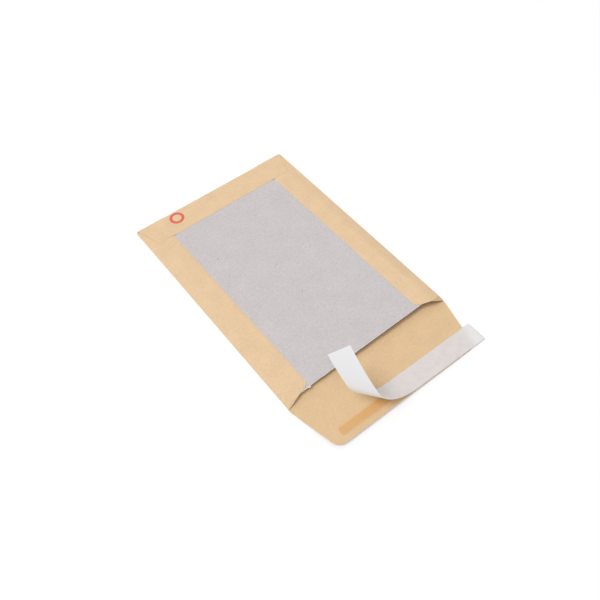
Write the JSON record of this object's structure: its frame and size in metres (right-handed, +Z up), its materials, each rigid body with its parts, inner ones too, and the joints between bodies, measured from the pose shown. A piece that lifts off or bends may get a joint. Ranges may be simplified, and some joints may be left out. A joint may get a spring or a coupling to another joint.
{
  "type": "board-backed envelope",
  "caption": "Open board-backed kraft envelope lying on its face: folded paper cover, grey board back, open closing flap with adhesive strip and a half-peeled release liner.",
  "frame": {"origin": "on the surface it lies on, under the middle of the face panel's 162 by 229 mm rectangle", "axes": "+X across the envelope to the right, +Y from the mouth to the bottom fold, +Z up through the board"},
  "size_m": [0.1622, 0.2767, 0.0537],
  "materials": {
    "kraft_paper": "brown kraft paper of about 120 g per square metre, matt, with fine fibres",
    "grey_board": "recycled grey board of about 600 g per square metre, matt, mottled, with a few dark flecks",
    "adhesive": "amber pressure adhesive, slightly glossy",
    "liner_paper": "white silicone release paper, smooth and thin",
    "seam_gum": "dried seam gum, hidden between the layers"
  },
  "bodies": {
    "root": {"envelope_sheet": "kraft_paper", "back_board": "grey_board", "adhesive_strip": "adhesive", "release_liner": "liner_paper", "left_seam_gum": "seam_gum", "right_seam_gum": "seam_gum", "bottom_seam_gum": "seam_gum"}
  },
  "joints": []
}
